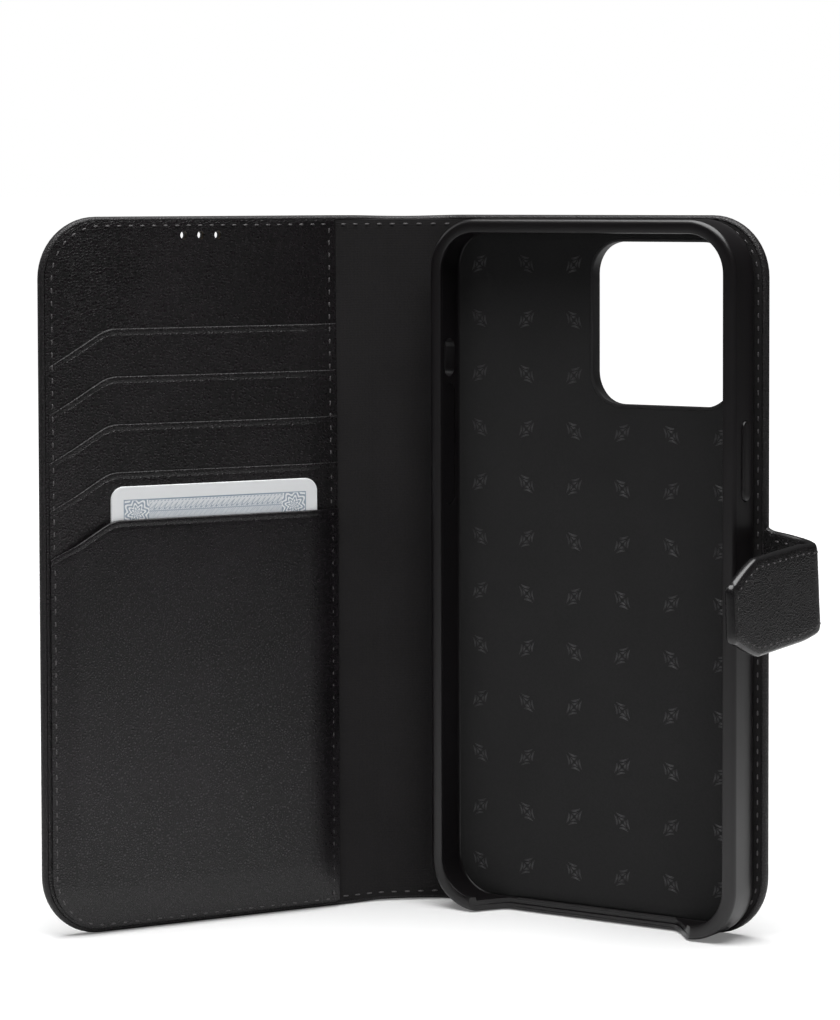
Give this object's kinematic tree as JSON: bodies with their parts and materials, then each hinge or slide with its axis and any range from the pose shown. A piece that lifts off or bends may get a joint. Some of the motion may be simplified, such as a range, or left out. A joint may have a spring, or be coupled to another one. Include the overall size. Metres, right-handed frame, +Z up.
{
  "type": "phone wallet case",
  "caption": "Black leather folio wallet case for a large phone, with stepped card slots, a moulded phone tray and a magnetic closing tab.",
  "frame": {"origin": "bottom edge of the back cover, in line with the middle of the phone and in the middle of the cover's thickness", "axes": "+Z up along the covers' long edges; the back cover stands in the X-Z plane, its phone side faces -Y, and the spine is towards -X"},
  "size_m": [0.1602, 0.0921, 0.1685],
  "materials": {
    "outer_leather": "black pebbled leather, satin",
    "inner_leather": "black fine-grained leather, soft satin",
    "microfibre": "black matt microfibre",
    "microsuede": "black microsuede, embossed",
    "moulded_plastic": "black satin plastic",
    "board": "stiffener board, hidden",
    "catch_steel": "hidden thin steel plate",
    "magnet": "hidden plated magnet",
    "card_plastic": "white printed plastic card"
  },
  "bodies": {
    "back_cover": {"back_leather": "outer_leather", "back_board": "board", "back_lining": "inner_leather", "phone_shell": "moulded_plastic", "shell_lining": "microsuede", "camera_surround": "moulded_plastic", "tab_anchor": "inner_leather"},
    "spine": {"spine_leather": "outer_leather", "spine_board": "board", "spine_lining": "microfibre"},
    "front_cover": {"front_leather": "outer_leather", "front_board": "board", "front_steel_plate": "catch_steel", "pocket_base": "inner_leather", "front_hinge_lining": "microfibre", "card_pocket_1": "inner_leather", "card_pocket_2": "inner_leather", "card_pocket_3": "inner_leather", "card_pocket_4": "inner_leather", "card_pocket_5": "inner_leather"},
    "card": {"card": "card_plastic"},
    "power_button": {"power_button": "moulded_plastic"},
    "volume_rocker": {"volume_rocker": "moulded_plastic"},
    "tab_root": {"tab_root_leather": "outer_leather", "tab_root_lining": "inner_leather"},
    "tab_side": {"tab_side_leather": "outer_leather", "tab_side_lining": "inner_leather"},
    "tab_flap": {"tab_flap_leather": "outer_leather", "tab_flap_lining": "inner_leather", "tab_magnet": "magnet"}
  },
  "joints": [
    {"name": "back_crease", "type": "hinge", "parent": "back_cover", "child": "spine", "pos_m": [-0.0435, -0.0014, 0.08425], "axis": [0, 0, 1], "range_deg": [-41, 49]},
    {"name": "front_crease", "type": "hinge", "parent": "spine", "child": "front_cover", "pos_m": [-0.05633, -0.01255, 0.08425], "axis": [0, 0, 1], "range_deg": [-21, 69]},
    {"name": "card_slide", "type": "slide", "parent": "front_cover", "child": "card", "axis": [0, 0, 1], "range_m": [0, 0.082]},
    {"name": "power_press", "type": "slide", "parent": "back_cover", "child": "power_button", "axis": [-1, 0, 0], "range_m": [0, 0.0004], "stiffness_N_per_m": 300, "springref_m": -0.0003},
    {"name": "volume_rock", "type": "hinge", "parent": "back_cover", "child": "volume_rocker", "pos_m": [-0.04045, -0.0069, 0.113], "axis": [0, 1, 0], "range_deg": [-1.2, 1.2], "stiffness_Nm_per_rad": 0.05},
    {"name": "tab_swing", "type": "hinge", "parent": "back_cover", "child": "tab_root", "pos_m": [0.0463, -0.0014, 0.08425], "axis": [0, 0, -1], "range_deg": [-4, 86]},
    {"name": "tab_unbend", "type": "hinge", "parent": "tab_root", "child": "tab_side", "pos_m": [0.05747, -0.00218, 0.08425], "axis": [0, 0, 1], "range_deg": [0, 90]},
    {"name": "tab_fold", "type": "hinge", "parent": "tab_side", "child": "tab_flap", "pos_m": [0.05682, -0.01146, 0.08425], "axis": [0, 0, -1], "range_deg": [0, 90]}
  ],
  "couplings": [
    {"joint": "tab_fold", "follows": "tab_unbend", "ratio": 1}
  ]
}
